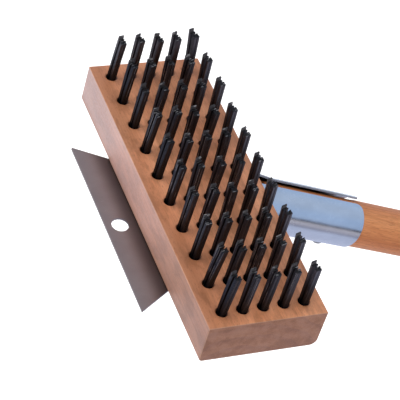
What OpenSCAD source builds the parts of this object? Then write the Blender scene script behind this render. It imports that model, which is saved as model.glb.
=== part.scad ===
// Grill cleaning brush: a wooden head block with wire tufts on one face, a
// one-piece sheet steel scraper and rolled socket screwed to the other face,
// and a round wooden handle held in the socket.
//
// Frame: the origin is the centre of the block's bristle face. +Z is the way
// the bristles stand, +X runs towards the handle and the scraper edge is at -X.

/* [Head block] */
// Length of the wooden block, across the handle
block_l = 203.2; // [196:0.2:230]
// Width of the wooden block, along the handle
block_w = 69.8; // [66:0.2:80]
// Thickness of the wooden block
block_t = 26.4; // [24:0.2:32]
// Rounding of the long back edge on the handle side
back_round = 4.3; // [1:0.1:6]
// Rounding of the long back edge on the scraper side
front_round = 1.5; // [0.5:0.1:5]

/* [Tufts] */
// Number of tufts across the block in one row
tufts_across = 5; // [3:1:5]
// Spacing of the tufts across the block
pitch_across = 12.1; // [10.5:0.1:12.6]
// Spacing of the rows along the block
pitch_along = 20.3; // [16:0.1:20.8]
// Diameter of a tuft hole
tuft_hole_d = 6.7; // [6.6:0.1:7.6]
// Depth of a tuft hole
tuft_hole_depth = 17.5; // [14:0.5:19]
// Height the wires stand above the bristle face
trim = 28.6; // [18:0.2:45]
// Width of the flat wire
wire_w = 3.4; // [2.8:0.1:3.4]
// Thickness of the flat wire
wire_t = 0.4; // [0.25:0.05:0.4]
// How far the lowest wires of a tuft end below the tallest
tip_step = 2.2; // [0:0.1:4]

/* [Scraper plate] */
// Thickness of the sheet steel
sheet_t = 1.2; // [0.8:0.1:1.6]
// Length of the scraping edge
blade_w = 126; // [110:1:140]
// Distance the blade stands out past the block
blade_out = 18.5; // [15:0.5:26]
// Narrowing of each side of the plate per millimetre towards the handle
blade_taper = 0.611; // [0.59:0.001:0.62]
// Diameter of the hanging hole
hang_hole_d = 10; // [6:0.5:12]
// Distance of the hanging hole from the scraping edge
hang_hole_in = 8.8; // [8:0.2:10]

/* [Handle and socket] */
// Diameter of the handle
handle_d = 27.8; // [26:0.2:29]
// Length of the handle
handle_l = 711; // [400:1:900]
// Tilt of the handle away from the bristles, in degrees
handle_tilt = 21.15; // [19:0.05:24]
// Depth of the handle's axis below the bristle face, at the block
handle_drop = 20.3; // [19:0.1:21.5]
// Reach of the socket along the handle
socket_l = 76.2; // [60:0.2:110]
// Clearance between handle and socket
socket_gap = 0.05; // [0.02:0.01:0.3]
// How far the far wing of the socket stands off the round
wing_lift = 1.0; // [0.4:0.1:1.2]
// Distance of the handle screw from the block
handle_screw_at = 64; // [40:1:66]

/* [Hidden] */
$fn = 64;
tuft_rows = 10;
eps = 0.01;
edge = 0.6;                        // small easing of the block's other edges
block_x = block_w / 2;
plate_gap = 0.4;                   // block side to the socket's wings
socket_x = block_x + plate_gap;    // where the wings begin
blade_x = -block_x - blade_out;    // the scraping edge
neck_half = 16;                    // half width of the plate at the socket
neck_x = blade_x + (blade_w / 2 - neck_half - 1) / blade_taper;
handle_r = handle_d / 2;
grip_relief = 0.25;                // the socketed end is turned down by this
shoulder_at = 1;                   // the shoulder stands this far past the socket
socket_ri = handle_r - grip_relief + socket_gap;
socket_ro = socket_ri + sheet_t;
handle_start = 3.6;                // handle's inner end, along its own axis
near_edge = 3;                     // seam edge of the near wing, degrees past the ridge
far_edge = 20;                     // seam edge of the far wing, degrees past the ridge
wing_corner = 3.5;                 // rounding of the near wing's free corner
handle_end_r = 9;                  // rounding of the handle's free end

// Flat wires: folded in half and nested, from the inmost to the outmost
bend_r = [0.6, 1.05, 1.5, 1.95, 2.4];
// How far below the tallest wires each leg ends, as a share of tip_step
far_drop = [1, 1, 1, 0.05, 0];
near_drop = [0.5, 0.5, 0.75, 0.8, 0.8];
bend_z = -tuft_hole_depth + bend_r[4] + wire_t + 0.15;
anchor_l = 8.4;
anchor_t = 0.9;
anchor_h = 1.7;
anchor_low = 0.3;

// Screws
plate_screws_at = [[-27, 40.6], [-27, -40.6], [-6, 20.3], [-6, -20.3]];
plate_screw_head_r = 3.6;
plate_screw_head_h = 2.3;
plate_screw_r = 1.6;
plate_screw_l = 11;
handle_screw_head_r = 4.8;
handle_screw_head_h = 4.4;
handle_screw_r = 1.9;
handle_screw_l = 19;

function tuft_x(i) = (i - (tufts_across - 1) / 2) * pitch_across;
function row_y(j) = (j - (tuft_rows - 1) / 2) * pitch_along;

// A repeatable value from -1 to 1 for a wire of a tuft
function vary(i, j, k) = sin(i * 127.1 + j * 311.7 + k * 74.7 + 40 * sin(i * 53 + j * 91 + k * 17));

// Places its children in the handle's frame: z along the handle, x towards the
// back of the brush, y as in the brush's frame.
module along_handle() {
  translate([block_x, 0, -handle_drop]) rotate([0, 90 + handle_tilt, 0]) children();
}

// The waste left at a square corner when it is rounded, pointing to +x +y
module corner_waste(r) {
  translate([-r, -r]) difference() {
    square(r + 1);
    circle(r, $fn = 48);
  }
}

// Head block ------------------------------------------------------------

module block_section() {
  difference() {
    translate([-block_x, -block_t]) square([block_w, block_t]);
    translate([block_x, -block_t]) mirror([0, 1]) corner_waste(back_round);
    translate([-block_x, -block_t]) mirror([1, 0]) mirror([0, 1]) corner_waste(front_round);
    translate([block_x, 0]) corner_waste(edge);
    translate([-block_x, 0]) mirror([1, 0]) corner_waste(edge);
  }
}

module head_block() {
  color([0.80, 0.56, 0.36]) difference() {
    translate([0, block_l / 2, 0]) rotate([90, 0, 0])
      linear_extrude(block_l) block_section();
    for (j = [0:tuft_rows - 1], i = [0:tufts_across - 1])
      translate([tuft_x(i), row_y(j), 0]) {
        translate([0, 0, -tuft_hole_depth])
          cylinder(h = tuft_hole_depth + 1, d = tuft_hole_d);
        translate([-anchor_l / 2 - 0.05, -anchor_t / 2 - 0.03, bend_z - anchor_low - 0.03])
          cube([anchor_l + 0.1, anchor_t + 0.06, anchor_h + 0.06]);
      }
    for (p = plate_screws_at)
      translate([p[0], p[1], -block_t - 1])
        cylinder(h = plate_screw_l - sheet_t + 1.1, r = plate_screw_r + 0.03, $fn = 32);
  }
}

// Scraper plate and handle socket, one piece of sheet steel ---------------

module half_plane(side) {
  translate([-60, side < 0 ? -60 : 0]) square([120, 60]);
}

module ring(ri, t) {
  difference() {
    circle(ri + t, $fn = 128);
    circle(ri, $fn = 128);
  }
}

// Wedge of the plane either side of the bristle direction (-x here), from the
// angle a0 to the angle a1 measured towards +y
module seam_wedge(a0, a1) {
  polygon([[0, 0], [-60 * cos(a0), 60 * sin(a0)], [-60 * cos(a1), 60 * sin(a1)]]);
}

// Section of the rolled sheet: a near wing concentric with the handle, and a
// far wing of slightly larger radius that stands off the handle. The seam
// between them is left open.
module rolled_section() {
  intersection() {
    ring(socket_ri, sheet_t);
    union() {
      half_plane(-1);
      seam_wedge(0, near_edge);
    }
  }
  difference() {
    intersection() {
      translate([-wing_lift, 0]) ring(socket_ri + wing_lift, sheet_t);
      half_plane(1);
    }
    seam_wedge(-2, far_edge);
  }
}

module fan_plate() {
  translate([0, 0, -block_t - sheet_t]) linear_extrude(sheet_t) polygon([
    [blade_x, -blade_w / 2],
    [neck_x, -neck_half - 1],
    [socket_x, -neck_half],
    [socket_x, neck_half],
    [neck_x, neck_half + 1],
    [blade_x, blade_w / 2]]);
}

module scraper_socket() {
  color([0.72, 0.73, 0.76]) difference() {
    union() {
      fan_plate();
      intersection() {
        along_handle() translate([0, 0, -30]) linear_extrude(socket_l + 30) rolled_section();
        union() {
          translate([socket_x, -40, -90]) cube([120, 80, 120]);
          translate([-20, -40, -90]) cube([70, 80, 90 - block_t]);
        }
      }
    }
    // room for the handle, as wide on each side as the wing there
    along_handle() translate([0, 0, -31]) linear_extrude(socket_l + 40) {
      intersection() {
        circle(socket_ri, $fn = 128);
        half_plane(-1);
      }
      intersection() {
        translate([-wing_lift, 0]) circle(socket_ri + wing_lift, $fn = 128);
        half_plane(1);
      }
    }
    // rounded free corner of the near wing
    along_handle() translate([-socket_ro - 2, socket_ro * sin(near_edge) - wing_corner + 0.15, socket_l - wing_corner + 0.15])
      rotate([90, 0, 90]) linear_extrude(8) difference() {
        square([wing_corner + 0.6, wing_corner + 3]);
        circle(wing_corner, $fn = 48);
      }
    translate([blade_x + hang_hole_in, 0, -block_t - sheet_t - 1])
      cylinder(h = sheet_t + 2, d = hang_hole_d);
    for (p = plate_screws_at)
      translate([p[0], p[1], -block_t - sheet_t - 1])
        cylinder(h = sheet_t + 2, r = plate_screw_r + 0.4, $fn = 32);
    along_handle() translate([socket_ri - 3, 0, handle_screw_at]) rotate([0, 90, 0])
      cylinder(h = 8, r = handle_screw_r + 0.4, $fn = 32);
  }
}

// Handle ------------------------------------------------------------------

module handle() {
  r_in = handle_r - grip_relief;
  color([0.82, 0.50, 0.28]) difference() {
    along_handle() translate([0, 0, handle_start]) rotate_extrude($fn = 128) {
      square([r_in, socket_l + shoulder_at - handle_start]);
      translate([0, socket_l + shoulder_at - handle_start])
        square([handle_r, handle_l - handle_end_r - socket_l - shoulder_at + handle_start]);
      square([handle_r - handle_end_r, handle_l]);
      translate([handle_r - handle_end_r, handle_l - handle_end_r])
        intersection() {
          circle(handle_end_r, $fn = 96);
          square(handle_end_r);
        }
    }
    along_handle() translate([handle_r + 1, 0, handle_screw_at]) rotate([0, -90, 0])
      cylinder(h = handle_screw_l - socket_ro + handle_r + 1.2, r = handle_screw_r + 0.03, $fn = 32);
  }
}

// Screws --------------------------------------------------------------------

// Round-head wood screw: underside of the head at z = 0, shank towards +z
module round_head_screw(head_r, head_h, r, l) {
  R = (head_r * head_r + head_h * head_h) / (2 * head_h);
  difference() {
    union() {
      rotate_extrude($fn = 48) intersection() {
        translate([0, R - head_h]) circle(R, $fn = 64);
        translate([0, -head_h]) square([head_r, head_h]);
      }
      cylinder(h = l - 2.5 * r, r = r, $fn = 32);
      translate([0, 0, l - 2.5 * r]) cylinder(h = 2.5 * r, r1 = r, r2 = 0.15, $fn = 32);
    }
    for (a = [0, 90]) rotate(a)
      translate([-head_r * 0.55, -0.45, -head_h - 1])
        cube([head_r * 1.1, 0.9, head_h * 0.62 + 1]);
  }
}

module plate_screws() {
  color([0.75, 0.75, 0.78]) for (k = [0:3])
    translate([plate_screws_at[k][0], plate_screws_at[k][1], -block_t - sheet_t])
      rotate(20 + 37 * k)
        round_head_screw(plate_screw_head_r, plate_screw_head_h, plate_screw_r, plate_screw_l);
}

module handle_screw() {
  color([0.75, 0.75, 0.78]) along_handle()
    translate([socket_ro + 0.01, 0, handle_screw_at]) rotate([0, -90, 0]) rotate(15)
      round_head_screw(handle_screw_head_r, handle_screw_head_h, handle_screw_r, handle_screw_l);
}

// Tufts -------------------------------------------------------------------

// One flat wire folded in half, bent about the x axis at height bend_z
module hairpin(x0, r, far_h, near_h) {
  translate([x0, 0, bend_z]) rotate([90, 0, 90]) linear_extrude(wire_w) {
    translate([r, 0]) square([wire_t, far_h - bend_z]);
    translate([-r - wire_t, 0]) square([wire_t, near_h - bend_z]);
    intersection() {
      ring(r, wire_t);
      translate([-10, -20]) square([20, 20]);
    }
  }
}

// A tuft of five folded wires, nested. The outer far legs stand highest, the
// middle legs a little lower and the near legs lower still.
module tuft(i, j) {
  for (k = [0:4]) {
    far_h = trim + 0.85 - tip_step * far_drop[k] + 0.35 * vary(i, j, k);
    near_h = trim + 0.85 - tip_step * near_drop[k] + 0.35 * vary(i, j, k + 7);
    hairpin(-wire_w / 2, bend_r[k], far_h, near_h);
  }
}

module tufts_row(j) {
  color([0.20, 0.20, 0.23]) for (i = [0:tufts_across - 1])
    translate([tuft_x(i), row_y(j), 0]) tuft(i, j);
}

// Flat anchors driven across the folds, biting into the wood at both ends
module anchors_row(j) {
  color([0.66, 0.66, 0.68]) for (i = [0:tufts_across - 1])
    translate([tuft_x(i) - anchor_l / 2, row_y(j) - anchor_t / 2, bend_z - anchor_low])
      cube([anchor_l, anchor_t, anchor_h]);
}

head_block();
scraper_socket();
handle();
plate_screws();
handle_screw();
tufts_row(0);  // tufts_row_01
tufts_row(1);  // tufts_row_02
tufts_row(2);  // tufts_row_03
tufts_row(3);  // tufts_row_04
tufts_row(4);  // tufts_row_05
tufts_row(5);  // tufts_row_06
tufts_row(6);  // tufts_row_07
tufts_row(7);  // tufts_row_08
tufts_row(8);  // tufts_row_09
tufts_row(9);  // tufts_row_10
anchors_row(0);  // anchors_row_01
anchors_row(1);  // anchors_row_02
anchors_row(2);  // anchors_row_03
anchors_row(3);  // anchors_row_04
anchors_row(4);  // anchors_row_05
anchors_row(5);  // anchors_row_06
anchors_row(6);  // anchors_row_07
anchors_row(7);  // anchors_row_08
anchors_row(8);  // anchors_row_09
anchors_row(9);  // anchors_row_10
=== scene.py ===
"""Grill cleaning brush: the looks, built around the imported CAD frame. Metres, the CAD's own frame:
origin at the centre of the block's bristle face, +Z the way the bristles stand, +X towards the handle."""

import math

import bmesh
import bpy
import numpy as np
from mathutils import Matrix, Vector


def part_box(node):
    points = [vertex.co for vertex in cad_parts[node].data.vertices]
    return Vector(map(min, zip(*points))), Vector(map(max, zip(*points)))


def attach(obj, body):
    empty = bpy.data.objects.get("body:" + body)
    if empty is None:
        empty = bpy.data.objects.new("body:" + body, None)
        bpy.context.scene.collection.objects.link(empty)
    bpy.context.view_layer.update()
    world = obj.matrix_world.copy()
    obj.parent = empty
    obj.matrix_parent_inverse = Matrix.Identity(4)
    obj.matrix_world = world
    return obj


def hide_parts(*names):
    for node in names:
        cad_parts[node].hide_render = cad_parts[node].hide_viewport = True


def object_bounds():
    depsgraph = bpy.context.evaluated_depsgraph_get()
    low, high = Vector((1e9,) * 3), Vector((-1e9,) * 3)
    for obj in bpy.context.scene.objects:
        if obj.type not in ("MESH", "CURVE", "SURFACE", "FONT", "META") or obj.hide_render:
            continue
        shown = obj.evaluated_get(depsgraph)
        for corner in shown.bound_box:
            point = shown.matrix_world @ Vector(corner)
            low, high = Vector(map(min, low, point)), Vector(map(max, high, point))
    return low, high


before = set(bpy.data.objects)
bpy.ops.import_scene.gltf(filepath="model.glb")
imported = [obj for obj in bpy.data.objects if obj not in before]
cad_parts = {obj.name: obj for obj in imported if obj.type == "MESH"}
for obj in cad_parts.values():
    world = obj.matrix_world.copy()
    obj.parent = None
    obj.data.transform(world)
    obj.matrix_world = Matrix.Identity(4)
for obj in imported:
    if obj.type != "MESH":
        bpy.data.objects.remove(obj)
cad_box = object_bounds()
MM = 0.001

# ------------------------------------------------------------------ sizes from the CAD
b_lo, b_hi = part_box("head_block")
HX, HY, TB = b_hi.x / MM, b_hi.y / MM, -b_lo.z / MM          # half width, half length, thickness (mm)
s_lo, s_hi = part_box("scraper_socket")
BLADE_X = s_lo.x / MM
BLADE_H = s_hi.y / MM
t_lo, t_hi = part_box("tufts_row_01")
TRIM = 28.6
TILT = math.radians(21.15)
P0 = np.array([HX, 0.0, -20.3])                              # handle axis at the block's side
AX = np.array([math.cos(TILT), 0.0, -math.sin(TILT)])        # along the handle
E2 = np.array([math.sin(TILT), 0.0, math.cos(TILT)])         # across it, on the bristle side
E1 = np.array([0.0, 1.0, 0.0])
HANDLE_R = 13.9
HANDLE_S0, HANDLE_S1 = 3.6, 714.6
SOCKET_L = 76.2
SHEET = 1.2
PITCH_X, PITCH_Y = 12.1, 20.3
COLS, ROWS = 5, 10
rng = np.random.default_rng(7)


# ------------------------------------------------------------------ mesh helpers
def make_object(name, verts, faces, smooth=True, merge=None):
    me = bpy.data.meshes.new(name)
    me.from_pydata([tuple(map(float, v)) for v in verts], [], [tuple(int(i) for i in f) for f in faces])
    me.validate(verbose=False)
    ob = bpy.data.objects.new(name, me)
    bpy.context.scene.collection.objects.link(ob)
    if merge is not None:
        bm = bmesh.new()
        bm.from_mesh(me)
        bmesh.ops.remove_doubles(bm, verts=bm.verts, dist=merge)
        bmesh.ops.dissolve_degenerate(bm, edges=bm.edges, dist=merge)
        bmesh.ops.recalc_face_normals(bm, faces=bm.faces)
        bm.to_mesh(me)
        bm.free()
    for p in me.polygons:
        p.use_smooth = smooth
    return ob


def sharp_by_angle(ob, degrees):
    me = ob.data
    for p in me.polygons:
        p.use_smooth = True
    bm = bmesh.new()
    bm.from_mesh(me)
    lim = math.radians(degrees)
    for e in bm.edges:
        e.smooth = not (len(e.link_faces) != 2 or e.calc_face_angle(0.0) > lim)
    bm.to_mesh(me)
    bm.free()


def apply_modifiers(ob):
    dg = bpy.context.evaluated_depsgraph_get()
    dg.update()
    me = bpy.data.meshes.new_from_object(ob.evaluated_get(dg), preserve_all_data_layers=True, depsgraph=dg)
    old = ob.data
    ob.modifiers.clear()
    ob.data = me
    if old.users == 0:
        bpy.data.meshes.remove(old)


def smoothstep(t):
    t = np.clip(t, 0.0, 1.0)
    return t * t * (3 - 2 * t)


# ------------------------------------------------------------------ node helpers
class Tree:
    def __init__(self, tree):
        self.t = tree
        self.t.nodes.clear()

    def add(self, kind, props=None, **ins):
        n = self.t.nodes.new(kind)
        for k, v in (props or {}).items():
            setattr(n, k, v)
        for k, v in ins.items():
            key = k.replace("_", " ") if not k.startswith("i") or not k[1:].isdigit() else int(k[1:])
            s = n.inputs[key]
            if isinstance(v, bpy.types.NodeSocket):
                self.t.links.new(v, s)
            else:
                s.default_value = v
        return n

    def math(self, op, a, b=None, c=None, clamp=False):
        ins = {"i0": a}
        if b is not None:
            ins["i1"] = b
        if c is not None:
            ins["i2"] = c
        return self.add("ShaderNodeMath", {"operation": op, "use_clamp": clamp}, **ins).outputs[0]

    def mix(self, fac, a, b, blend="MIX"):
        n = self.t.nodes.new("ShaderNodeMix")
        n.data_type = "RGBA"
        n.blend_type = blend
        for key, v in ((0, fac), (6, a), (7, b)):
            if isinstance(v, bpy.types.NodeSocket):
                self.t.links.new(v, n.inputs[key])
            else:
                n.inputs[key].default_value = v
        return n.outputs[2]

    def ramp(self, fac, stops, interp="LINEAR"):
        n = self.t.nodes.new("ShaderNodeValToRGB")
        n.color_ramp.interpolation = interp
        el = n.color_ramp.elements
        while len(el) > 1:
            el.remove(el[-1])
        el[0].position, el[0].color = stops[0][0], rgba(stops[0][1])
        for p, c in stops[1:]:
            e = el.new(p)
            e.color = rgba(c)
        self.t.links.new(fac, n.inputs[0])
        return n.outputs[0]

    def mapped(self, scale=(1, 1, 1), rot=(0, 0, 0), loc=(0, 0, 0), src="Object"):
        tc = self.add("ShaderNodeTexCoord")
        m = self.add("ShaderNodeMapping", Vector=tc.outputs[src])
        m.inputs["Location"].default_value = loc
        m.inputs["Rotation"].default_value = rot
        m.inputs["Scale"].default_value = scale
        return m.outputs[0]

    def remap(self, vec, scale=(1, 1, 1), loc=(0, 0, 0)):
        m = self.add("ShaderNodeMapping", Vector=vec)
        m.inputs["Location"].default_value = loc
        m.inputs["Scale"].default_value = scale
        return m.outputs[0]

    def noise(self, vec, scale=1.0, detail=3.0, rough=0.5, distortion=0.0):
        return self.add("ShaderNodeTexNoise", {"noise_dimensions": "3D"}, Vector=vec, Scale=scale, Detail=detail,
                        Roughness=rough, Distortion=distortion).outputs[0]

    def range(self, v, a, b, c=0.0, d=1.0, kind="SMOOTHSTEP"):
        n = self.add("ShaderNodeMapRange", {"interpolation_type": kind})
        self.t.links.new(v, n.inputs[0])
        for i, x in zip((1, 2, 3, 4), (a, b, c, d)):
            if isinstance(x, bpy.types.NodeSocket):
                self.t.links.new(x, n.inputs[i])
            else:
                n.inputs[i].default_value = x
        return n.outputs[0]

    def bump(self, height, strength, distance, normal=None):
        n = self.add("ShaderNodeBump", Strength=strength, Distance=distance, Height=height)
        if normal is not None:
            self.t.links.new(normal, n.inputs["Normal"])
        return n.outputs[0]


def rgba(c):
    return (c[0], c[1], c[2], c[3] if len(c) > 3 else 1.0)


def srgb(r, g, b):
    def f(u):
        u /= 255.0
        return u / 12.92 if u <= 0.04045 else ((u + 0.055) / 1.055) ** 2.4
    return (f(r), f(g), f(b), 1.0)


def new_material(name):
    m = bpy.data.materials.new(name)
    m.use_nodes = True
    t = Tree(m.node_tree)
    out = t.add("ShaderNodeOutputMaterial")
    bsdf = t.add("ShaderNodeBsdfPrincipled")
    t.t.links.new(bsdf.outputs[0], out.inputs[0])
    return m, t, bsdf


def link(t, bsdf, **ins):
    for k, v in ins.items():
        s = bsdf.inputs[k.replace("_", " ")]
        if isinstance(v, bpy.types.NodeSocket):
            t.t.links.new(v, s)
        else:
            s.default_value = v


# ------------------------------------------------------------------ materials
def block_wood():
    """Steamed beech: grain along Y, short darker ray flecks, soft growth rings, a darker pored end grain."""
    m, t, b = new_material("block_beech")
    mm = t.mapped((1000, 1000, 1000))
    warp = t.add("ShaderNodeTexNoise", {"noise_dimensions": "3D"}, Vector=t.remap(mm, (0.03, 0.006, 0.03)), Scale=1.0,
                 Detail=2.0, Roughness=0.5)
    off = t.add("ShaderNodeVectorMath", {"operation": "SCALE"}, i0=warp.outputs[1], Scale=9.0)
    pos = t.add("ShaderNodeVectorMath", {"operation": "ADD"}, i0=mm, i1=off.outputs[0]).outputs[0]
    sep = t.add("ShaderNodeSeparateXYZ", Vector=t.remap(pos, (1, 0.03, 1), (34, 0, 96))).outputs
    rad = t.math("SQRT", t.math("ADD", t.math("MULTIPLY", sep[0], sep[0]), t.math("MULTIPLY", sep[2], sep[2])))
    rings = t.math("FRACT", t.math("MULTIPLY", rad, 0.27))
    ring = t.range(rings, 0.55, 1.0, 0.0, 1.0)
    ring = t.math("MULTIPLY", ring, t.range(rings, 1.0, 0.93, 0.0, 1.0))
    broad = t.noise(t.remap(mm, (0.05, 0.012, 0.05)), 1.0, 3.0, 0.55)
    streak = t.noise(t.remap(mm, (1.1, 0.045, 1.1)), 1.0, 4.0, 0.6)
    fine = t.noise(t.remap(mm, (4.5, 0.16, 4.5)), 1.0, 3.0, 0.6)
    flecks = t.noise(t.remap(mm, (2.0, 0.42, 1.3), (7, 3, 11)), 1.0, 1.0, 0.4)
    fleck = t.range(flecks, 0.64, 0.72)
    col = t.ramp(broad, [(0.28, srgb(174, 110, 74)), (0.5, srgb(187, 123, 86)), (0.72, srgb(198, 136, 98))])
    col = t.mix(t.math("MULTIPLY", t.range(streak, 0.35, 0.72), 0.36), col, srgb(150, 98, 70), "MIX")
    col = t.mix(t.math("MULTIPLY", ring, 0.30), col, srgb(136, 84, 57))
    col = t.mix(t.math("MULTIPLY", t.range(fine, 0.50, 0.75), 0.26), col, srgb(120, 74, 50))
    col = t.mix(t.math("MULTIPLY", fleck, 0.45), col, srgb(112, 66, 44))
    smudge = t.noise(t.remap(mm, (0.11, 0.05, 0.11), (2, 9, 4)), 1.0, 4.0, 0.6)
    col = t.mix(t.math("MULTIPLY", t.range(smudge, 0.46, 0.62), 0.50), col, srgb(130, 80, 48))
    # end grain: darker, with pores in place of streaks
    geo = t.add("ShaderNodeNewGeometry")
    nrm = t.add("ShaderNodeSeparateXYZ", Vector=geo.outputs["Normal"]).outputs
    ny = t.math("ABSOLUTE", nrm[1])
    # the sawn long side: a pale bloom, partly dust and partly painted sheen and painted light, stronger towards the far
    # end and weaker low on the side
    yy = t.add("ShaderNodeSeparateXYZ", Vector=mm).outputs[1]
    speck = t.math("MULTIPLY", t.range(t.noise(t.remap(mm, (0.75, 0.55, 0.75), (4, 4, 4)), 1.0, 3.0, 0.7), 0.34, 0.68, 0.84, 1.06),
                   t.range(t.add("ShaderNodeSeparateXYZ", Vector=mm).outputs[2], -26.0, -19.0, 0.55, 1.0))
    dust_and_painted_sheen = t.math("MULTIPLY", t.range(nrm[0], -0.70, -0.95), t.range(yy, -70.0, 100.0, 0.18, 0.56, "LINEAR"))
    dust_and_painted_sheen = t.math("MULTIPLY", dust_and_painted_sheen, speck, clamp=True)
    col = t.mix(dust_and_painted_sheen, col, srgb(214, 192, 190))
    end = t.range(ny, 0.6, 0.9)
    pores = t.range(t.noise(t.remap(mm, (2.6, 2.6, 2.6)), 1.0, 2.0, 0.6), 0.52, 0.66)
    endcol = t.mix(t.math("MULTIPLY", pores, 0.5), t.mix(0.60, col, srgb(136, 95, 74)), srgb(100, 63, 47))
    sp = t.add("ShaderNodeSeparateXYZ", Vector=t.remap(mm, (1, 1, 1), (12, 0, 58))).outputs
    er = t.math("SQRT", t.math("ADD", t.math("MULTIPLY", sp[0], sp[0]), t.math("MULTIPLY", sp[2], sp[2])))
    er = t.math("ADD", er, t.math("MULTIPLY", t.noise(t.remap(mm, (0.08, 0.08, 0.08)), 1.0, 2.0, 0.5), 7.0))
    arc = t.math("FRACT", t.math("MULTIPLY", er, 0.115))
    arc = t.math("MULTIPLY", t.range(arc, 0.35, 0.97), t.range(arc, 1.0, 0.965))
    endcol = t.mix(t.math("MULTIPLY", arc, 0.32), endcol, srgb(112, 72, 62))
    endcol = t.mix(t.math("MULTIPLY", t.range(smudge, 0.60, 0.35), 0.32), endcol, srgb(172, 130, 112))
    col = t.mix(end, col, endcol)
    # painted light: the face between the tufts is brightened against the shade the tufts cast, less so towards both
    # ends
    ax = t.math("ABSOLUTE", t.add("ShaderNodeSeparateXYZ", Vector=mm).outputs[0])
    up = t.range(nrm[2], 0.8, 0.95)
    wide = t.math("MULTIPLY", t.range(ax, 37.0, 27.0), t.range(t.math("ABSOLUTE", yy), 50.0, 15.0))
    painted_face_light = t.math("MULTIPLY", t.math("MAXIMUM", t.range(ax, 31.0, 20.0), wide), t.math("MULTIPLY", t.range(yy, -98.0, -20.0, 0.35, 1.0), t.range(yy, 98.0, 30.0, 0.62, 1.0)))
    col = t.mix(t.math("MULTIPLY", painted_face_light, up), col, (1.54, 1.57, 1.66, 1), "MULTIPLY")
    # painted light also on the near margin, more so away from the scraper side
    xs = t.add("ShaderNodeSeparateXYZ", Vector=mm).outputs[0]
    margin = t.math("MULTIPLY", t.range(yy, -86.0, -95.0), t.range(xs, -34.0, -8.0, 0.12, 1.0))
    col = t.mix(t.math("MULTIPLY", margin, up), col, (1.42, 1.46, 1.46, 1), "MULTIPLY")
    # the sawn long side: painted cool light, brighter at mid-length, greyer and darker towards its ends
    side = t.range(nrm[0], -0.85, -0.95)
    ends_ = t.range(t.math("ABSOLUTE", t.math("ADD", yy, -10.0)), 25.0, 70.0)
    col = t.mix(side, col, t.mix(ends_, (1.09, 1.10, 1.15, 1), (0.85, 0.88, 0.92, 1)), "MULTIPLY")
    # outer edges: a painted highlight along the eased edges, partly burnished wood
    top = t.math("MAXIMUM", t.math("MAXIMUM", t.math("ABSOLUTE", nrm[0]), ny), t.math("ABSOLUTE", nrm[2]))
    px = t.math("ABSOLUTE", t.add("ShaderNodeSeparateXYZ", Vector=mm).outputs[0])
    outer = t.math("MAXIMUM", t.range(px, HX - 1.2, HX - 0.6), t.range(t.math("ABSOLUTE", yy), HY - 1.2, HY - 0.6))
    col = t.mix(t.math("MULTIPLY", t.math("MULTIPLY", t.range(top, 0.99, 0.90), outer), 0.26), col, srgb(222, 182, 156))
    h = t.math("ADD", t.math("MULTIPLY", fine, 0.7), t.math("ADD", t.math("MULTIPLY", streak, 0.5), t.math("MULTIPLY", fleck, -0.6)))
    h = t.math("ADD", h, t.math("MULTIPLY", t.noise(t.remap(mm, (7, 7, 7)), 1.0, 2.0, 0.6), 0.35))
    rough = t.range(streak, 0.3, 0.8, 0.44, 0.58, "LINEAR")
    link(t, b, Base_Color=col, Roughness=rough, Normal=t.bump(h, 0.35, 0.00025), Specular_IOR_Level=0.55)
    return m


def handle_wood():
    """Reddish hardwood turned to a round: grain along the handle, many short dark open pores."""
    m, t, b = new_material("handle_hardwood")
    mm = t.mapped((1, 1, 1), rot=(0, -TILT, 0))
    mm = t.remap(mm, (1000, 1000, 1000))
    warp = t.add("ShaderNodeTexNoise", {"noise_dimensions": "3D"}, Vector=t.remap(mm, (0.008, 0.05, 0.05)), Scale=1.0,
                 Detail=2.0, Roughness=0.5)
    off = t.add("ShaderNodeVectorMath", {"operation": "SCALE"}, i0=warp.outputs[1], Scale=6.0)
    pos = t.add("ShaderNodeVectorMath", {"operation": "ADD"}, i0=mm, i1=off.outputs[0]).outputs[0]
    sep = t.add("ShaderNodeSeparateXYZ", Vector=t.remap(pos, (0.03, 1, 1), (0, 31, -22))).outputs
    rad = t.math("SQRT", t.math("ADD", t.math("MULTIPLY", sep[1], sep[1]), t.math("MULTIPLY", sep[2], sep[2])))
    rings = t.math("FRACT", t.math("MULTIPLY", rad, 0.42))
    ring = t.math("MULTIPLY", t.range(rings, 0.4, 1.0), t.range(rings, 1.0, 0.92))
    broad = t.noise(t.remap(mm, (0.006, 0.09, 0.09)), 1.0, 3.0, 0.5)
    streak = t.noise(t.remap(mm, (0.03, 0.9, 0.9)), 1.0, 4.0, 0.62)
    pores = t.range(t.noise(t.remap(mm, (0.16, 3.2, 3.2), (5, 1, 9)), 1.0, 2.0, 0.5), 0.57, 0.68)
    flame = t.range(t.noise(t.remap(mm, (0.10, 0.42, 0.42), (3, 8, 2)), 1.0, 4.0, 0.62, 0.6), 0.52, 0.66)
    col = t.ramp(broad, [(0.3, srgb(193, 118, 70)), (0.5, srgb(208, 136, 86)), (0.7, srgb(218, 150, 100))])
    col = t.mix(t.math("MULTIPLY", t.range(streak, 0.4, 0.7), 0.40), col, srgb(168, 98, 56))
    col = t.mix(t.math("MULTIPLY", flame, 0.34), col, srgb(168, 96, 54))
    col = t.mix(t.math("MULTIPLY", ring, 0.34), col, srgb(152, 84, 46))
    col = t.mix(t.math("MULTIPLY", pores, 0.55), col, srgb(122, 68, 40))
    h = t.math("ADD", t.math("MULTIPLY", pores, -1.0), t.math("MULTIPLY", streak, 0.4))
    rough = t.range(streak, 0.3, 0.8, 0.42, 0.58, "LINEAR")
    link(t, b, Base_Color=col, Roughness=rough, Normal=t.bump(h, 0.3, 0.0002), Specular_IOR_Level=0.34)
    return m


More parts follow.
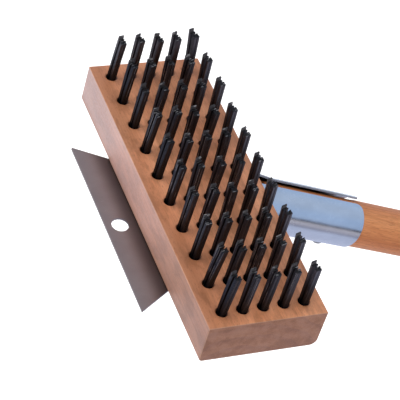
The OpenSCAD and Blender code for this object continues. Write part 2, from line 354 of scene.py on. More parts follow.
def sheet_steel(name="sheet_zinc"):
    """Bright zinc-plated sheet: a fine drawn grain along the part, faint cloudiness, a duller worn blade edge, a
    painted contact shadow beside the block.
    """
    m, t, b = new_material(name)
    mm = t.mapped((1, 1, 1), rot=(0, -TILT * 0.6, 0))
    mm = t.remap(mm, (1000, 1000, 1000))
    cloud = t.noise(t.remap(mm, (0.05, 0.09, 0.09)), 1.0, 4.0, 0.6)
    grain = t.noise(t.remap(mm, (0.06, 2.4, 2.4)), 1.0, 3.0, 0.55)
    spots = t.range(t.noise(t.remap(mm, (0.9, 0.9, 0.9)), 1.0, 3.0, 0.6), 0.60, 0.74)
    # scratches across the blade near its edge
    tc = t.add("ShaderNodeTexCoord")
    x = t.add("ShaderNodeSeparateXYZ", Vector=tc.outputs["Object"]).outputs[0]
    worn = t.range(x, BLADE_X * MM + 0.006, BLADE_X * MM, 0.0, 1.0)
    scr = t.range(t.noise(t.remap(mm, (0.25, 4.5, 1.0), (3, 2, 1)), 1.0, 2.0, 0.5), 0.62, 0.70)
    col = t.ramp(cloud, [(0.3, (0.565, 0.60, 0.64)), (0.7, (0.66, 0.70, 0.745))])
    col = t.mix(t.math("MULTIPLY", spots, 0.10), col, (0.42, 0.42, 0.44, 1))
    col = t.mix(t.math("MULTIPLY", worn, t.math("MULTIPLY", scr, 0.5)), col, (0.40, 0.38, 0.37, 1))
    # the blade is duller: darker, warmer and satin, brightening under the block; next to the block it carries a painted
    # contact shadow
    dull = t.range(x, 0.012, -HX * MM + 0.001, 0.0, 1.0)
    blade = t.ramp(cloud, [(0.3, (0.33, 0.277, 0.27)), (0.7, (0.38, 0.325, 0.315))])
    blade = t.mix(t.math("MULTIPLY", scr, 0.25), blade, (0.46, 0.43, 0.42, 1))
    # painted contact shadow: the blade darkens towards the block's side
    blade = t.mix(t.range(x, -0.0468, -0.0362, 0.0, 0.76), blade, (0.09, 0.078, 0.082, 1))
    col = t.mix(dull, col, blade)
    rough = t.math("ADD", t.range(cloud, 0.3, 0.7, 0.17, 0.25, "LINEAR"), t.math("MULTIPLY", t.math("ADD", spots, worn), 0.08))
    rough = t.math("ADD", rough, t.math("MULTIPLY", dull, 0.22))
    h = t.math("ADD", t.math("MULTIPLY", grain, 1.0), t.math("MULTIPLY", cloud, 3.0))
    link(t, b, Base_Color=col, Metallic=1.0, Roughness=rough, Normal=t.bump(h, 0.10, 0.0001))
    return m


def screw_steel():
    m, t, b = new_material("screw_zinc")
    mm = t.mapped((1000, 1000, 1000))
    n = t.noise(t.remap(mm, (1.6, 1.6, 1.6)), 1.0, 3.0, 0.6)
    col = t.ramp(n, [(0.35, (0.26, 0.26, 0.26)), (0.65, (0.42, 0.42, 0.41))])
    link(t, b, Base_Color=col, Metallic=1.0, Roughness=t.range(n, 0.3, 0.7, 0.24, 0.38, "LINEAR"),
         Normal=t.bump(n, 0.12, 0.0001))
    return m


def anchor_steel():
    m, t, b = new_material("anchor_steel")
    mm = t.mapped((1000, 1000, 1000))
    n = t.noise(t.remap(mm, (0.4, 3, 3)), 1.0, 3.0, 0.6)
    col = t.ramp(n, [(0.35, (0.33, 0.33, 0.34)), (0.65, (0.48, 0.48, 0.49))])
    link(t, b, Base_Color=col, Metallic=1.0, Roughness=0.4, Normal=t.bump(n, 0.15, 0.0001))
    return m


def wire_steel():
    """Black tempered flat wire: a blue-black oxide on the edges, a greyer drawn face, dark sheared tips; painted shade
    at the base, painted reflection towards the tips, painted glints on some corners and cut ends.
    """
    m, t, b = new_material("wire_black_tempered")
    mm = t.mapped((1000, 1000, 1000))
    info = t.add("ShaderNodeAttribute", {"attribute_type": "GEOMETRY", "attribute_name": "wire_id"}).outputs["Fac"]
    tip = t.add("ShaderNodeAttribute", {"attribute_type": "GEOMETRY", "attribute_name": "tip"}).outputs["Fac"]
    streak = t.noise(t.remap(mm, (2.6, 2.6, 0.07)), 1.0, 3.0, 0.6)
    blot = t.noise(t.remap(mm, (0.35, 0.35, 0.12)), 1.0, 3.0, 0.55)
    face = t.ramp(info, [(0.0, (0.009, 0.009, 0.010)), (0.45, (0.023, 0.021, 0.023)), (0.75, (0.048, 0.044, 0.049)),
                         (1.0, (0.090, 0.082, 0.090))])
    face = t.mix(t.range(blot, 0.35, 0.7), face, (0.017, 0.016, 0.018, 1))
    face = t.mix(t.math("MULTIPLY", t.range(streak, 0.52, 0.68), 0.60), face, (0.13, 0.118, 0.120, 1))
    face = t.mix(t.math("MULTIPLY", t.range(streak, 0.46, 0.34), 0.6), face, (0.012, 0.012, 0.014, 1))
    geo = t.add("ShaderNodeNewGeometry")
    nx = t.math("ABSOLUTE", t.add("ShaderNodeSeparateXYZ", Vector=geo.outputs["Normal"]).outputs[0])
    col = t.mix(t.range(nx, 0.5, 0.9), face, (0.018, 0.024, 0.040, 1))
    zz = t.add("ShaderNodeSeparateXYZ", Vector=mm).outputs[2]
    # darker towards the base: painted shade down among the tufts, partly darker oxide
    col = t.mix(t.range(zz, 15.0, 2.0, 0.0, 0.75), col, (0.008, 0.008, 0.009, 1))
    # painted reflection: greyer towards the tips, where the wires see the bright floor past the block's edge, most of
    # all on the outer rows and the tall far wires
    blade = t.add("ShaderNodeAttribute", {"attribute_type": "GEOMETRY", "attribute_name": "blade"}).outputs["Fac"]
    sp = t.add("ShaderNodeSeparateXYZ", Vector=mm).outputs
    rimrow = t.math("MAXIMUM", t.range(sp[0], 17.0, 23.0), t.range(sp[1], 82.0, 90.0))
    col = t.mix(t.math("MULTIPLY", t.range(zz, 11.0, 26.0), t.math("MULTIPLY_ADD", rimrow, 0.55, 0.15)), col, (0.130, 0.119, 0.134, 1))
    col = t.mix(t.math("MULTIPLY", blade, t.math("MULTIPLY_ADD", rimrow, 0.38, 0.32)), col, (0.165, 0.155, 0.170, 1))
    # painted highlights: glints along the corners of some wires in stretches, and on a few cut ends
    corner = t.math("MULTIPLY", t.range(nx, 0.35, 0.5), t.range(nx, 0.93, 0.82))
    pick = t.math("FRACT", t.math("MULTIPLY", info, 57.3))
    painted_corner_glint = t.math("MULTIPLY", t.range(pick, 0.66, 0.92), t.range(blot, 0.40, 0.58))
    painted_corner_glint = t.math("MULTIPLY", painted_corner_glint, t.range(zz, 2.0, 9.0))
    col = t.mix(t.math("MULTIPLY", t.math("MULTIPLY", corner, painted_corner_glint), 0.75), col, (0.52, 0.48, 0.46, 1))
    ends = t.ramp(t.math("FRACT", t.math("MULTIPLY", info, 23.9)), [(0.78, (0.030, 0.029, 0.031)), (0.93, (0.30, 0.29, 0.29))])
    col = t.mix(t.math("MULTIPLY", tip, 0.85), col, ends)
    rough = t.range(streak, 0.3, 0.7, 0.34, 0.52, "LINEAR")
    link(t, b, Base_Color=col, Metallic=t.math("MULTIPLY_ADD", blade, -0.55, 0.8), Roughness=rough, Normal=t.bump(streak, 0.25, 0.00006),
         Specular_IOR_Level=0.5)
    return m


M_BLOCK, M_HANDLE, M_SHEET = block_wood(), handle_wood(), sheet_steel()
M_SCREW, M_ANCHOR, M_WIRE = screw_steel(), anchor_steel(), wire_steel()


def dress(ob, mat, slot, *nodes):
    ob.data.materials.clear()
    ob.data.materials.append(mat)
    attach(ob, "root")
    if nodes:
        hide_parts(*nodes)
    return ob


# ------------------------------------------------------------------ head block
def build_block():
    """A block with eased edges, drilled for the tufts. The top face is a grid of cells, each with one hole."""
    e, R, r2, hole_r, hole_d, rim = 0.5, 4.3, 2.2, 3.35, 17.5, 0.22
    V, F = [], []

    def v(x, y, z):
        V.append((x, y, z))
        return len(V) - 1

    xs_edges = [(i - COLS / 2) * PITCH_X for i in range(COLS + 1)]
    ys_edges = [(j - ROWS / 2) * PITCH_Y for j in range(ROWS + 1)]
    xs_edges[0], xs_edges[-1] = -COLS / 2 * PITCH_X, COLS / 2 * PITCH_X
    ys_edges[0], ys_edges[-1] = -(HY - e), HY - e
    NXs, NYs = 8, 12
    gx = [np.linspace(xs_edges[i], xs_edges[i + 1], NXs + 1) for i in range(COLS)]
    gy = [np.linspace(ys_edges[j], ys_edges[j + 1], NYs + 1) for j in range(ROWS)]
    for i in range(COLS):
        for j in range(ROWS):
            X, Y = gx[i], gy[j]
            cx, cy = (i - (COLS - 1) / 2) * PITCH_X, (j - (ROWS - 1) / 2) * PITCH_Y
            border = [(X[-1], y) for y in Y[:-1]] + [(x, Y[-1]) for x in X[::-1][:-1]] + \
                     [(X[0], y) for y in Y[::-1][:-1]] + [(x, Y[0]) for x in X[:-1]]
            n = len(border)
            hr = hole_r + rng.uniform(-0.03, 0.03)
            a0 = -math.pi * NYs / (2 * (NXs + NYs)) * 1.0
            ang = [a0 + 2 * math.pi * k / n for k in range(n)]
            rough_r = [rng.uniform(-0.05, 0.07) for _ in range(n)]
            rings = [[v(px, py, 0) for px, py in border]]
            mid = []
            for (px, py), a in zip(border, ang):
                q = (cx + (hr + 1.3) * math.cos(a), cy + (hr + 1.3) * math.sin(a))
                mid.append(v(q[0], q[1], 0))
            rings.append(mid)
            for rr, z, k in ((hr + rim, 0.0, 1), (hr + 0.07, -0.10, 0.6), (hr, -rim * 1.2, 0.2), (hr, -3.0, 0),
                             (hr, -hole_d + 1.2, 0), (hr * 0.62, -hole_d, 0)):
                rings.append([v(cx + (rr + k * w) * math.cos(a), cy + (rr + k * w) * math.sin(a), z)
                              for a, w in zip(ang, rough_r)])
            for A, B in zip(rings[:-1], rings[1:]):
                for k in range(n):
                    F.append((A[k], A[(k + 1) % n], B[(k + 1) % n], B[k]))
            F.append(tuple(rings[-1]))
    ys_all = sorted(set(np.round(np.concatenate(gy), 6)))
    xs_all = sorted(set(np.round(np.concatenate(gx), 6)))
    # margins beside the outer columns
    for sx in (-1, 1):
        xa, xb = sx * xs_edges[-1], sx * (HX - e)
        for ya, yb in zip(ys_all[:-1], ys_all[1:]):
            q = [v(xa, ya, 0), v(xb, ya, 0), v(xb, yb, 0), v(xa, yb, 0)]
            F.append(tuple(q if sx > 0 else q[::-1]))
    top_x = [HX - e] + [x for x in xs_all[::-1]] + [-(HX - e)]

    def profile(inset):
        pts = []
        for cx, cz, r, a, b, n in ((HX - e, -e, e, 90, 0, 4), (HX - R, -TB + R, R, 0, -90, 12),
                                   (-HX + r2, -TB + r2, r2, -90, -180, 7), (-HX + e, -e, e, 180, 90, 4)):
            rr = max(r - inset, 0.0)
            for k in range(n + 1):
                q = math.radians(a + (b - a) * k / n)
                pts.append((cx + rr * math.cos(q), cz + rr * math.sin(q)))
        return pts

    secs = [(-1, k) for k in (4, 3, 2, 1)] + [(0, y) for y in ys_all] + [(1, k) for k in (1, 2, 3, 4)]
    loops, tops, isend = [], [], []
    for kind, val in secs:
        if kind == 0:
            y, inset = val, 0.0
        else:
            phi = math.pi / 2 * val / 4
            y, inset = kind * (HY - e + e * math.sin(phi)), e * (1 - math.cos(phi))
        loops.append([v(x, y, z) for x, z in profile(inset)])
        tops.append([v(x, y, -inset) for x in top_x])
        isend.append(kind != 0)
    for s in range(len(secs) - 1):
        A, B = loops[s], loops[s + 1]
        for k in range(len(A) - 1):
            F.append((A[k], A[k + 1], B[k + 1], B[k]))
        if isend[s] or isend[s + 1]:
            A, B = tops[s], tops[s + 1]
            for k in range(len(A) - 1):
                F.append((A[k], B[k], B[k + 1], A[k + 1]))
    for s, flip in ((0, False), (-1, True)):
        cap = loops[s] + tops[s][::-1][1:-1]
        F.append(tuple(cap if not flip else cap[::-1]))
    V = np.array(V) * MM
    ob = make_object("head_block_wood", V, F, merge=2e-6)
    sharp_by_angle(ob, 35)
    return dress(ob, M_BLOCK, "block_wood", "head_block")


block = build_block()


# ------------------------------------------------------------------ tufts
def sweep_wire(path, widths, tdir, w, th, out_v, out_f, out_tip, tipmask, slant):
    """Sweeps a flat strip with eased corners along path. widths, tdir: unit vectors across and through the wire
    at each point; slant: how far the cut end rises across the width, as a slope."""
    hw, ht, c = w / 2, th / 2, 0.10
    sec = [(hw, ht - c), (hw - c, ht), (-hw + c, ht), (-hw, ht - c), (-hw, -ht + c), (-hw + c, -ht), (hw - c, -ht), (hw, -ht + c)]
    base = len(out_v)
    n = len(path)
    for k in range(n):
        shrink = 0.82 if k in (0, n - 1) else 1.0
        for a, b in sec:
            off = widths[k] * (a - math.copysign((1 - shrink) * ht, a)) + tdir[k] * b * shrink
            off[2] += slant[k] * a
            out_v.append(path[k] + off)
            out_tip.append(tipmask[k])
    m = len(sec)
    for k in range(n - 1):
        for q in range(m):
            a, b = base + k * m + q, base + k * m + (q + 1) % m
            out_f.append((a, b, b + m, a + m))
    out_f.append(tuple(base + q for q in range(m))[::-1])
    out_f.append(tuple(base + (n - 1) * m + q for q in range(m)))


def build_tufts():
    """Each tuft: flat wires folded in half and nested. Far legs stand tallest, the near ones end lower."""
    bend = [0.6, 1.05, 1.5, 1.95, 2.4]
    far_drop = [1.5, 1.8, 1.95, 0.15, 0.0]
    near_drop = [1.0, 1.5, 1.55, 1.6, 1.6]
    w, th = 1.62, 0.39
    bz = -17.5 + 2.4 + 0.4 + 0.15
    for j in range(ROWS):
        V, F, TIP, WID, BLD = [], [], [], [], []
        for i in range(COLS):
            cx, cy = (i - (COLS - 1) / 2) * PITCH_X, (j - (ROWS - 1) / 2) * PITCH_Y
            lean_x = -0.95 * (i - 2) / 2 - 0.20 + rng.normal(0, 0.28) + (0.35 if j < 2 else 0.0)
            lean_y = rng.normal(0, 0.30)
            drop = rng.normal(0, 0.28)
            splay = 0.04 + rng.uniform(-0.05, 0.09)
            twist0 = rng.normal(0.17, 0.07) + (0.07 if i == 4 else 0.0)
            shade = rng.random()
            fan = rng.normal(0, 0.10)
            gap = rng.uniform(0.02, 0.26)
            if (i, j) == (4, 9):                              # the far corner tuft stands up straighter and taller
                lean_x, lean_y, drop = lean_x - 1.4, lean_y + 1.6, 0.2
            cut_far, cut_near = rng.uniform(0.02, 0.16), rng.uniform(-0.04, 0.16)
            low = rng.uniform(-0.45, 0.35)                    # how much lower than usual the near group ends
            for k, c in ((k, c) for k in range(5) for c in (0, 1)):
                x0 = (c - 0.5) * (w + 0.10)
                legs = []
                for side in (1, -1):                          # far leg, then near leg
                    h = TRIM + 0.85 - (far_drop[k] if side > 0 else near_drop[k] + low) + drop + rng.normal(0, 0.05)
                    y0 = side * (bend[k] + th / 2)
                    bow = rng.normal(0, 0.05)
                    part = -0.10 if side > 0 and k > 2 else gap   # the tall far wires touch, the others part a little
                    dx = (c - 0.5) * part + rng.normal(0, 0.05) * (part > 0) + fan * y0 / 2.6 + (0.12 if side < 0 else -0.12)
                    slant = cut_far if side > 0 else cut_near
                    h += slant * x0
                    legs.append((side, h, y0, bow, dx, twist0 + rng.normal(0, 0.02), slant))
                path, wd, td, tm, sl = [], [], [], [], []
                zs = np.array([-13.5, -7.0, -0.4, 1.2, 3.5, 7.0, 11.0, 15.0, 19.0, 22.5, 25.0])

                def leg_points(leg, up):
                    side, h, y0, bow, dx, tw, slant = leg
                    z = np.concatenate([zs[zs < h - 1.2], [h - 0.5, h - 0.10, h]])
                    pts = []
                    for zz in z:
                        u = max(zz, 0.0) / TRIM
                        f = u ** 1.25
                        ca, sa = math.cos(tw * u), math.sin(tw * u)
                        px = cx + x0 * ca - y0 * sa * 0.9 + (lean_x + dx) * f
                        py = cy + y0 + x0 * sa + (lean_y + y0 * splay) * f + bow * math.sin(math.pi * min(u, 1.0))
                        pts.append((np.array([px, py, zz]), tw * u, side, 1.0 if zz > h - 0.2 else 0.0,
                                    slant if zz > h - 0.2 else 0.0))
                    return pts if up else pts[::-1]

                seq = leg_points(legs[0], False)
                for q in range(1, 8):                         # the fold under the anchor
                    a = math.pi * q / 8
                    rr = bend[k] + th / 2
                    seq.append((np.array([cx + x0, cy + rr * math.cos(a), bz - rr * math.sin(a)]), 0.0, None, 0.0, 0.0))
                seq += leg_points(legs[1], True)
                P = np.array([s[0] for s in seq])
                T = np.gradient(P, axis=0)
                T /= np.linalg.norm(T, axis=1)[:, None]
                for s, tg in zip(seq, T):
                    a = s[1]
                    across = np.array([math.cos(a), math.sin(a), 0.0])
                    across -= tg * np.dot(across, tg)
                    across /= np.linalg.norm(across)
                    wd.append(across)
                    td.append(np.cross(tg, across))
                    tm.append(s[3])
                    sl.append(s[4])
                n0 = len(V)
                sweep_wire(P, wd, td, w, th, V, F, TIP, tm, sl)
                WID += [float(0.7 * rng.random() + 0.3 * shade)] * (len(V) - n0)
                BLD += [1.0 if k > 2 and v[2] > 23.5 and v[1] > cy else 0.0 for v in V[n0:]]
        name = f"wires_row_{j + 1:02d}"
        ob = make_object(name, np.array(V) * MM, F)
        for an, data in (("tip", TIP), ("wire_id", WID), ("blade", BLD)):
            at = ob.data.attributes.new(an, "FLOAT", "POINT")
            at.data.foreach_set("value", np.array(data, np.float32))
        bm = bmesh.new()
        bm.from_mesh(ob.data)
        bmesh.ops.recalc_face_normals(bm, faces=bm.faces)
        bm.to_mesh(ob.data)
        bm.free()
        sharp_by_angle(ob, 30)
        dress(ob, M_WIRE, "wire_steel", f"tufts_row_{j + 1:02d}")


build_tufts()


# ------------------------------------------------------------------ scraper and socket, one sheet
RI = HANDLE_R - 0.25 + 0.05                                          # inner radius of the near wing
LIFT = 1.0
XW = HX + 0.5                                                 # where the wings begin, clear of the block's side


def side_circle(side):
    """(centre offset along E2, radius) of the inner surface on the near (-1) or far (+1) side."""
    return (0.0, RI) if side < 0 else (LIFT, RI + LIFT)


def tube_point(side, phi, s, extra=0.0):
    """phi: angle from the bristle side (0) to the back (pi). side: -1 near (-Y), +1 far (+Y)."""
    c, r = side_circle(side)
    r += extra
    return P0 + AX * s + E2 * (c + r * math.cos(phi)) + E1 * side * r * math.sin(phi)


def s_at_x(side, phi, x):
    c, r = side_circle(side)
    return (x - P0[0] - (c + r * math.cos(phi)) * E2[0]) / AX[0]


def trough_z(side, x, y):
    """Height of the tube's inner lower surface at plan position (x, |y|)."""
    c, r = side_circle(side)
    yy = min(abs(y), r * 0.99999)
    cosphi = -math.sqrt(1 - (yy / r) ** 2)
    k = c + r * cosphi
    s = (x - P0[0] - k * E2[0]) / AX[0]
    return P0[2] + AX[2] * s + E2[2] * k


def build_sheet():
    """One continuous stamped sheet. Its inner surface is laid out here, then it is thickened outwards."""
    V, F = [], []

    def v(p):
        V.append(tuple(p))
        return len(V) - 1

    PHI_END = math.radians(88)                                # the plate's strip turns up to here at the wings
    # strip parameter: u in -1..1 from the near edge to the far edge of the plate
    nu = 44
    us = [0.0]
    edges = [0.004, 0.010, 0.018, 0.03]
    inner = list(np.linspace(0, 1 - edges[-1], nu - 4))
    pos = inner + [1 - e for e in edges[::-1][1:]] + [1.0]
    us = [-p for p in pos[::-1][:-1]] + pos

    def half_width(x):
        lin = BLADE_H - (x - BLADE_X) * 0.611
        xa = 23.0
        if x <= xa:
            return lin
        wa = BLADE_H - (xa - BLADE_X) * 0.611
        t = (x - xa) / (XW - xa)
        h00, h10, h01 = 2 * t ** 3 - 3 * t ** 2 + 1, t ** 3 - 2 * t ** 2 + t, -2 * t ** 3 + 3 * t ** 2
        return h00 * wa + h10 * (XW - xa) * -0.611 + h01 * RI * math.sin(PHI_END)

    def plate_point(u, x):
        side = -1 if u < 0 else 1
        a = abs(u)
        w = half_width(x)
        k = float(smoothstep((x - 14.0) / (XW - 14.0)))
        _, r = side_circle(side)
        wv = w + (r * math.sin(PHI_END) - RI * math.sin(PHI_END)) * k
        phi = math.pi - a * (math.pi - PHI_END)
        y = (1 - k) * a * wv + k * min(r * math.sin(phi), 99)
        # the cap follows the rounded back edge of the block upwards
        cap = -TB
        if x > 30.2:
            t = (x - 30.2) / (XW - 30.2)
            cap = -TB + 7.5 * t ** 2.6
        kk = 1.6 * (1 - k) + 0.25 * k
        zt = trough_z(side, x, y) if y < r * 0.9999 else 1e3
        zt = min(zt, cap + 30)
        h = max(kk - abs(zt - cap), 0.0) / kk
        z = min(zt, cap) - h * h * kk * 0.25
        # smooth-min dips a little below both: keep the plate itself flat against the wood
        z = min(z, cap)
        if k > 0.85:
            q = float(smoothstep((k - 0.85) / 0.15))
            c, rr = side_circle(side)
            kq = c + rr * math.cos(phi)
            s = (x - P0[0] - kq * E2[0]) / AX[0]
            zt2 = P0[2] + AX[2] * s + E2[2] * kq
            z = (1 - q) * z + q * zt2
            y = (1 - q) * y + q * rr * math.sin(phi)
        return np.array([x, side * y, z])

    # hanging hole: a patch of the grid is replaced by a ring of quads
    hx, hr = -44.6, 5.0
    xs = sorted(set(np.round(np.concatenate([
        [BLADE_X, BLADE_X + 0.15, BLADE_X + 0.5], np.linspace(BLADE_X + 1.2, hx - 6.6, 2), np.linspace(hx - 6.6, hx + 6.6, 13),
        np.linspace(hx + 6.6, -33.0, 3), np.linspace(-31, 8, 14), np.linspace(9, 30, 22), np.linspace(30.5, XW, 14)]), 5)))
    rc = 0.6

    def blade_x(x, u):
        """The scraping edge's corners are rounded off by rc."""
        d = (1 - abs(u)) * BLADE_H
        if d < rc:
            cut = rc - math.sqrt(max(rc * rc - (rc - d) ** 2, 0))
            t = float(smoothstep(1 - (x - BLADE_X) / 3.0))
            return x + cut * t
        return x

    grid = [[None] * len(us) for _ in xs]
    patch_x = [k for k, x in enumerate(xs) if hx - 6.7 < x < hx + 6.7]
    for a, x in enumerate(xs):
        for b_, u in enumerate(us):
            grid[a][b_] = plate_point(u, blade_x(x, u))
    # find the u columns that bound the patch at the hole's x
    def col_y(k):
        return grid[patch_x[len(patch_x) // 2]][k][1]
    inside = [k for k in range(len(us)) if abs(col_y(k)) < 7.4]
    c0, c1 = inside[0], inside[-1]
    r0, r1 = patch_x[0], patch_x[-1]
    idx = [[v(grid[a][b_]) for b_ in range(len(us))] for a in range(len(xs))]
    for a in range(len(xs) - 1):
        for b_ in range(len(us) - 1):
            if r0 <= a < r1 and c0 <= b_ < c1:
                continue
            F.append((idx[a][b_], idx[a][b_ + 1], idx[a + 1][b_ + 1], idx[a + 1][b_]))
    loop = [idx[r0][b_] for b_ in range(c0, c1)] + [idx[a][c1] for a in range(r0, r1)] + \
           [idx[r1][b_] for b_ in range(c1, c0, -1)] + [idx[a][c0] for a in range(r1, r0, -1)]
    n = len(loop)
    zp = -TB
    ang = [math.atan2(V[i][1], V[i][0] - hx) for i in loop]
    start = ang[0]
    ring_prev = loop
    sign = 1 if ((ang[1] - ang[0] + math.pi) % (2 * math.pi) - math.pi) > 0 else -1
    for f, rad in ((0.45, None), (1.0, hr)):
        ring = []
        for k, i in enumerate(loop):
            ta = start + sign * 2 * math.pi * k / n
            da = ((ang[k] - ta + math.pi) % (2 * math.pi)) - math.pi
            aa = ta + da * (0.0 if rad else 0.5)
            px, py = V[i][0] - hx, V[i][1]
            qx, qy = hr * math.cos(aa), hr * math.sin(aa)
            if rad is None:
                qx, qy = px * 0.5 + 1.25 * qx * 0.5, py * 0.5 + 1.25 * qy * 0.5
            ring.append(v((hx + qx, qy, zp)))
        for k in range(n):
            F.append((ring_prev[k], ring_prev[(k + 1) % n], ring[(k + 1) % n], ring[k]))
        ring_prev = ring
    # tube: strip columns continue from the plate's last row, and the wings are added on both sides
    last = idx[-1]
    nt = 46
    ts = np.concatenate([[0, 0.004, 0.010, 0.02], np.linspace(0.035, 0.95, nt), [0.965, 0.978, 0.988, 0.995, 1.0]])

    phi_near, phi_far = math.radians(-2.6), math.radians(20.5)
    corner = 3.5

    def s_end(side, dist):
        rcn = corner if side < 0 else 0.8
        if dist < rcn:
            return SOCKET_L - (rcn - math.sqrt(max(rcn * rcn - (rcn - dist) ** 2, 0)))
        return SOCKET_L

    def s_start(side, phi, dist):
        s0 = s_at_x(side, phi, XW)
        rcn = 1.5
        if dist < rcn:
            s0 += rcn - math.sqrt(max(rcn * rcn - (rcn - dist) ** 2, 0))
        return s0

    def wing(side, phi, dist, t):
        s0, s1 = s_start(side, phi, dist), s_end(side, dist)
        s = s0 + (s1 - s0) * t
        extra = 0.0
        if side > 0:
            near_edge = float(smoothstep((math.radians(75) - phi) / math.radians(54)))
            flare = float(smoothstep((11.0 - s) / 15.0))
            extra = 1.15 * near_edge * flare
            extra += -0.20 * near_edge * float(smoothstep((s - 55.0) / 20.0))
        # faint press waviness, so that reflections aren't ruled lines
        extra += 0.020 * math.sin(s * 0.21 + phi * 1.3) * math.sin(phi * 2.1 + 0.4)
        return tube_point(side, phi, s, extra)

    # columns of the tube in order: near edge ... strip ... far edge
    def wing_angles(phi_edge, r):
        span = PHI_END - phi_edge
        ds = np.array([0, 0.05, 0.18, 0.40, 0.75, 1.2, 1.8, 2.5, 3.3, 4.2]) / r
        rest = np.linspace(ds[-1], span, 30)[1:]
        return np.concatenate([ds, rest]) + phi_edge

    cols = []                                                 # (side, phi, distance to the wing's edge, strip column or None)
    an = wing_angles(phi_near, RI)
    for phi in an[:-1]:
        cols.append((-1, phi, (phi - phi_near) * RI, None))
    for b_, u in enumerate(us):
        side = -1 if u < 0 else 1
        phi = math.pi - abs(u) * (math.pi - PHI_END)
        cols.append((side, phi, 99.0, b_))
    af = wing_angles(phi_far, RI + LIFT)
    for phi in af[:-1][::-1]:
        cols.append((1, phi, (phi - phi_far) * (RI + LIFT), None))
    tube = []
    for side, phi, dist, b_ in cols:
        col = []
        for q, t in enumerate(ts):
            if q == 0 and b_ is not None:
                col.append(last[b_])
            else:
                p = wing(side, phi, dist, t)
                if b_ is not None:                            # the strip's first rows: w is computed but not applied, so p stays as it is
                    w = float(smoothstep(t / 0.02))
                    p = p * 1.0
                col.append(v(p))
        tube.append(col)
    for a in range(len(cols) - 1):
        for q in range(len(ts) - 1):
            A, B = tube[a], tube[a + 1]
            F.append((A[q], B[q], B[q + 1], A[q + 1]))
    ob = make_object("scraper_and_socket", np.array(V) * MM, F)
    bm = bmesh.new()
    bm.from_mesh(ob.data)
    bmesh.ops.remove_doubles(bm, verts=bm.verts, dist=1e-6)
    bmesh.ops.recalc_face_normals(bm, faces=bm.faces)
    # the blade's faces must look at the wood (+Z): thickening then goes outwards
    up = sum(f.normal.z * f.calc_area() for f in bm.faces if f.calc_center_median().x < -0.036)
    if up < 0:
        bmesh.ops.reverse_faces(bm, faces=bm.faces)
    bm.to_mesh(ob.data)
    bm.free()
    sol = ob.modifiers.new("thickness", "SOLIDIFY")
    sol.thickness = SHEET * MM
    sol.offset = -1.0
    sol.use_even_offset = True
    sol.use_quality_normals = True
    sol.bevel_convex = 1.0
    bev = ob.modifiers.new("edge", "BEVEL")
    bev.width = 0.22 * MM
    bev.segments = 2
    bev.limit_method = "WEIGHT"
    bev.harden_normals = False
    apply_modifiers(ob)
    sharp_by_angle(ob, 40)
    return dress(ob, M_SHEET, "sheet_steel", "scraper_socket")


sheet = build_sheet()


# ------------------------------------------------------------------ handle
def build_handle():
    V, F = [], []
    seg = 96
    st = []
    s = HANDLE_S0
    ri, sh = HANDLE_R - 0.25, SOCKET_L + 1.0                  # the socketed end, and its shoulder
    st += [(s, ri - 0.6), (s + 0.15, ri - 0.25), (s + 0.6, ri - 0.03)]
    st += [(q, ri) for q in np.arange(8.0, sh - 1.0, 6.0)] + [(sh - 0.06, ri), (sh, ri + 0.06), (sh + 0.12, ri + 0.21)]
    st += [(sh + 0.3, HANDLE_R)]
    for s in np.arange(sh + 3.0, HANDLE_S1 - 12.0, 6.0):
        st.append((s, HANDLE_R))
    re = 9.0
    for k in range(0, 15):
        a = math.pi / 2 * k / 14
        st.append((HANDLE_S1 - re + re * math.sin(a), HANDLE_R - re + re * math.cos(a)))
    for rr in (3.4, 1.7):
        st.append((HANDLE_S1 + 0.0 * rr, rr))
    rings = []
    for s, r in st:
        ring = []
        for k in range(seg):
            a = 2 * math.pi * k / seg
            wob = 0.03 * math.sin(s * 0.017 + 1.0) * math.cos(2 * a + s * 0.004) * (1 if s > 90 else 0)
            p = P0 + AX * s + E2 * (r + wob) * math.cos(a) + E1 * (r + wob) * math.sin(a)
            V.append(p)
            ring.append(len(V) - 1)
        rings.append(ring)
    for A, B in zip(rings[:-1], rings[1:]):
        for k in range(seg):
            F.append((A[k], A[(k + 1) % seg], B[(k + 1) % seg], B[k]))
    for ring, s in ((rings[0], HANDLE_S0), (rings[-1], HANDLE_S1)):
        F.append(tuple(ring if s > 100 else ring[::-1]))
    ob = make_object("handle_wood", np.array(V) * MM, F, merge=1e-7)
    sharp_by_angle(ob, 50)
    return dress(ob, M_HANDLE, "handle_wood", "handle")


handle = build_handle()

# ------------------------------------------------------------------ CAD nodes whose shape stays
for name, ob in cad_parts.items():
    mat = M_SCREW if "screw" in name else M_ANCHOR if name.startswith("anchors") else None
    if mat is not None:
        ob.data.materials.clear()
        ob.data.materials.append(mat)


# ------------------------------------------------------------------ floor, light, camera
def build_floor():
    z = cad_box[0][2] - 0.0005
    n, R = 96, 6.0
    V, F = [(0.3, 0, z)], []
    for ring, r in enumerate((0.6, 1.6, R)):
        for k in range(n):
            a = 2 * math.pi * k / n
            V.append((0.3 + r * math.cos(a), r * math.sin(a), z))
    for k in range(n):
        F.append((0, 1 + k, 1 + (k + 1) % n))
        for q in (0, 1):
            a, b_ = 1 + q * n + k, 1 + q * n + (k + 1) % n
            F.append((a, a + n, b_ + n, b_))
    ob = make_object("studio_floor", V, F)
    m, t, b = new_material("studio_floor")
    nz = t.noise(t.mapped((3, 3, 3)), 1.0, 2.0, 0.5)
    link(t, b, Base_Color=t.ramp(nz, [(0.3, (0.90, 0.90, 0.905)), (0.7, (0.92, 0.92, 0.92))]), Roughness=0.9,
         Specular_IOR_Level=0.1)
    cam_ray = t.add("ShaderNodeLightPath").outputs["Is Camera Ray"]
    link(t, b, Emission_Color=(1.0, 1.0, 1.0, 1.0), Emission_Strength=t.math("MULTIPLY", cam_ray, 0.45))
    ob.data.materials.append(m)
    ob.visible_glossy = False
    return ob


build_floor()


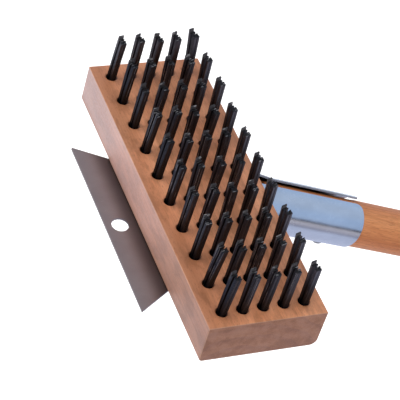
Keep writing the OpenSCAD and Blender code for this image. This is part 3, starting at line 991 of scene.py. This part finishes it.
def build_world():
    w = bpy.data.worlds.new("studio")
    bpy.context.scene.world = w
    w.use_nodes = True
    t = Tree(w.node_tree)
    out = t.add("ShaderNodeOutputWorld")
    lp = t.add("ShaderNodeLightPath")
    tc = t.add("ShaderNodeTexCoord")
    z = t.add("ShaderNodeSeparateXYZ", Vector=tc.outputs["Generated"]).outputs[2]
    z01 = t.math("MULTIPLY_ADD", z, 0.5, 0.5)
    # what polished metal sees: a pale blue-white tent, a dark gap at the table's edge, a lilac-white table
    def p(zz):
        return zz * 0.5 + 0.5
    refl = t.ramp(z01, [
        (p(-1.0), (0.62, 0.66, 0.86)), (p(-0.62), (0.62, 0.67, 0.88)), (p(-0.54), (0.34, 0.35, 0.46)),
        (p(-0.49), (0.34, 0.34, 0.44)), (p(-0.43), (0.50, 0.48, 0.57)), (p(-0.27), (0.68, 0.64, 0.71)),
        (p(-0.235), (0.72, 0.68, 0.74)), (p(-0.205), (0.06, 0.05, 0.06)), (p(-0.125), (0.06, 0.05, 0.06)),
        (p(-0.07), (0.48, 0.61, 0.86)), (p(0.25), (0.47, 0.62, 0.89)), (p(0.55), (0.55, 0.64, 0.80)),
        (p(0.78), (0.66, 0.72, 0.83)), (p(1.0), (1.0, 1.02, 1.06))])
    # on the far side the tent comes down lower and brighter
    yy = t.add("ShaderNodeSeparateXYZ", Vector=tc.outputs["Generated"]).outputs[1]
    far = t.ramp(z01, [(p(-0.45), (1.20, 1.24, 1.32)), (p(-0.32), (0.80, 0.87, 1.0)), (p(-0.20), (0.52, 0.60, 0.72)),
                       (p(-0.05), (0.48, 0.61, 0.86))])
    refl = t.mix(t.math("MULTIPLY", t.range(yy, 0.35, 0.65), t.range(z, 0.0, -0.1)), refl, far)
    bg1 = t.add("ShaderNodeBackground", Color=(0.97, 0.985, 1.0, 1), Strength=0.50)
    bg2 = t.add("ShaderNodeBackground", Color=refl, Strength=1.0)
    bg3 = t.add("ShaderNodeBackground", Color=(1, 1, 1, 1), Strength=1.05)
    mix1 = t.add("ShaderNodeMixShader", i0=lp.outputs["Is Glossy Ray"], i1=bg1.outputs[0], i2=bg2.outputs[0])
    mix2 = t.add("ShaderNodeMixShader", i0=lp.outputs["Is Camera Ray"], i1=mix1.outputs[0], i2=bg3.outputs[0])
    t.t.links.new(mix2.outputs[0], out.inputs[0])


build_world()


def area(name, loc, target, size, power, color=(1, 1, 1), glossy=True):
    d = bpy.data.lights.new(name, "AREA")
    d.shape = "RECTANGLE"
    d.size, d.size_y = size
    d.energy = power
    d.color = color
    o = bpy.data.objects.new(name, d)
    bpy.context.scene.collection.objects.link(o)
    o.location = loc
    o.rotation_euler = (Vector(target) - Vector(loc)).to_track_quat("-Z", "Y").to_euler()
    o.visible_glossy = glossy
    return o


area("soft_left", (-1.5, 0.9, 0.9), (0, 0, 0), (1.6, 1.2), 19.5, (0.97, 0.98, 1.0), glossy=False)
area("soft_top", (0.3, 0.3, 1.9), (0.05, 0, 0), (1.8, 1.8), 12.1, (1.0, 0.98, 0.96), glossy=False)
area("soft_near", (0.9, -1.8, 0.5), (0.1, 0, 0), (1.2, 1.2), 13, (1.0, 0.98, 0.97), glossy=False)
area("soft_far_left", (-0.42, 0.46, 0.10), (-0.035, 0.05, -0.01), (0.25, 0.25), 0.9, (0.92, 0.97, 1.06), glossy=False)

cam_data = bpy.data.cameras.new("photo_view")
cam = bpy.data.objects.new("photo_view", cam_data)
bpy.context.scene.collection.objects.link(cam)
right = Vector((0.91201678, -0.34436599, 0.22279464)).normalized()
back = Vector((-0.39744421, -0.6078349, 0.68744079)).normalized()
up = back.cross(right).normalized()
right = up.cross(back).normalized()
rot = Matrix((right, up, back)).transposed().to_4x4()
rot.translation = Vector((-0.42006, -0.64418, 0.71542))
cam.matrix_world = rot
cam_data.lens = 169.05
cam_data.sensor_width = 36.0
cam_data.clip_start = 0.01
cam_data.clip_end = 50.0
bpy.context.scene.camera = cam
bpy.context.scene.view_settings.view_transform = "Standard"
bpy.context.scene.view_settings.look = "None"
